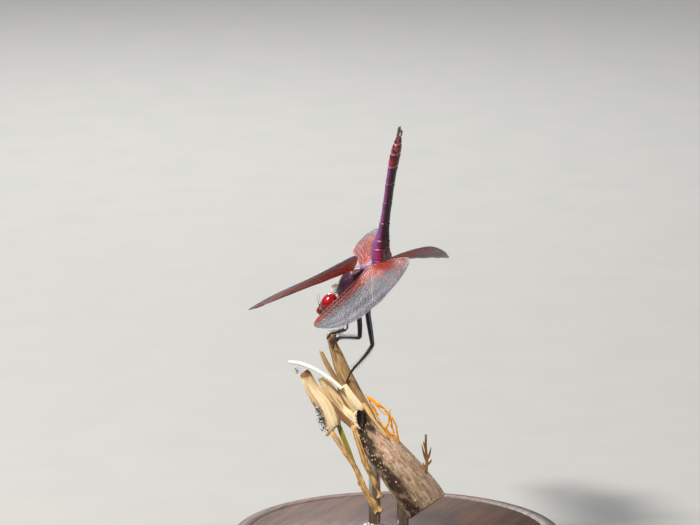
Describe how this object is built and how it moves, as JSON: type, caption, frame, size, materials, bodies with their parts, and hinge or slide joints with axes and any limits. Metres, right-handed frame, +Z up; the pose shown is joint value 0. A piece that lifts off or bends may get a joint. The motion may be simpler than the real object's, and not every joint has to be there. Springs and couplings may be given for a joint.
{
  "type": "dragonfly display model",
  "caption": "Life-size display model of a violet dropwing dragonfly in its tail-up pose, gripping the broken tip of a woody stem held up by a small round stand.",
  "frame": {"origin": "middle of the underside of the stand's base", "axes": "+Z up, the dragonfly heads towards -Y and its left side is +X"},
  "size_m": [0.0583, 0.056, 0.0755],
  "materials": {
    "eye": "deep crimson, glossy",
    "face": "dark red with a violet sheen",
    "feeler": "near black",
    "thorax": "dark violet with a waxy bloom",
    "abdomen": "violet pink with a waxy bloom",
    "appendage": "pale grey green",
    "wing": "clear with red veins",
    "leg": "near black",
    "bark": "grey brown bark with pale dots",
    "split_wood": "freshly split, cream and tan",
    "bast": "orange bark fibre",
    "stand_wood": "dark, satin",
    "stand_rod": "brushed"
  },
  "bodies": {
    "root": {"thorax": "thorax", "abdomen_base": "abdomen", "abdomen_waist": "abdomen", "abdomen_middle": "abdomen", "abdomen_rear": "abdomen", "abdomen_end": "abdomen", "clasper_left": "appendage", "clasper_right": "appendage", "tail_plate": "appendage", "neck": "thorax", "head": "face", "face": "face", "eye_left": "eye", "eye_right": "eye", "antenna_left": "feeler", "antenna_right": "feeler", "forewing_left": "wing", "forewing_right": "wing", "hindwing_left": "wing", "hindwing_right": "wing", "foreleg_left": "leg", "foreleg_right": "leg", "midleg_left": "leg", "midleg_right": "leg", "hindleg_left": "leg", "hindleg_right": "leg", "perch_stem": "bark", "perch_splinter_tall": "split_wood", "perch_splinter_slab": "split_wood", "perch_splinter_thin": "split_wood", "perch_chunk_left": "split_wood", "perch_chunk_right": "split_wood", "perch_fibre": "split_wood", "perch_bark_strip_left": "split_wood", "perch_bark_strip_right": "bark", "perch_bast": "bast", "perch_twig": "bark", "stand_base": "stand_wood", "stand_rod_front": "stand_rod", "stand_rod_rear": "stand_rod"}
  },
  "joints": []
}
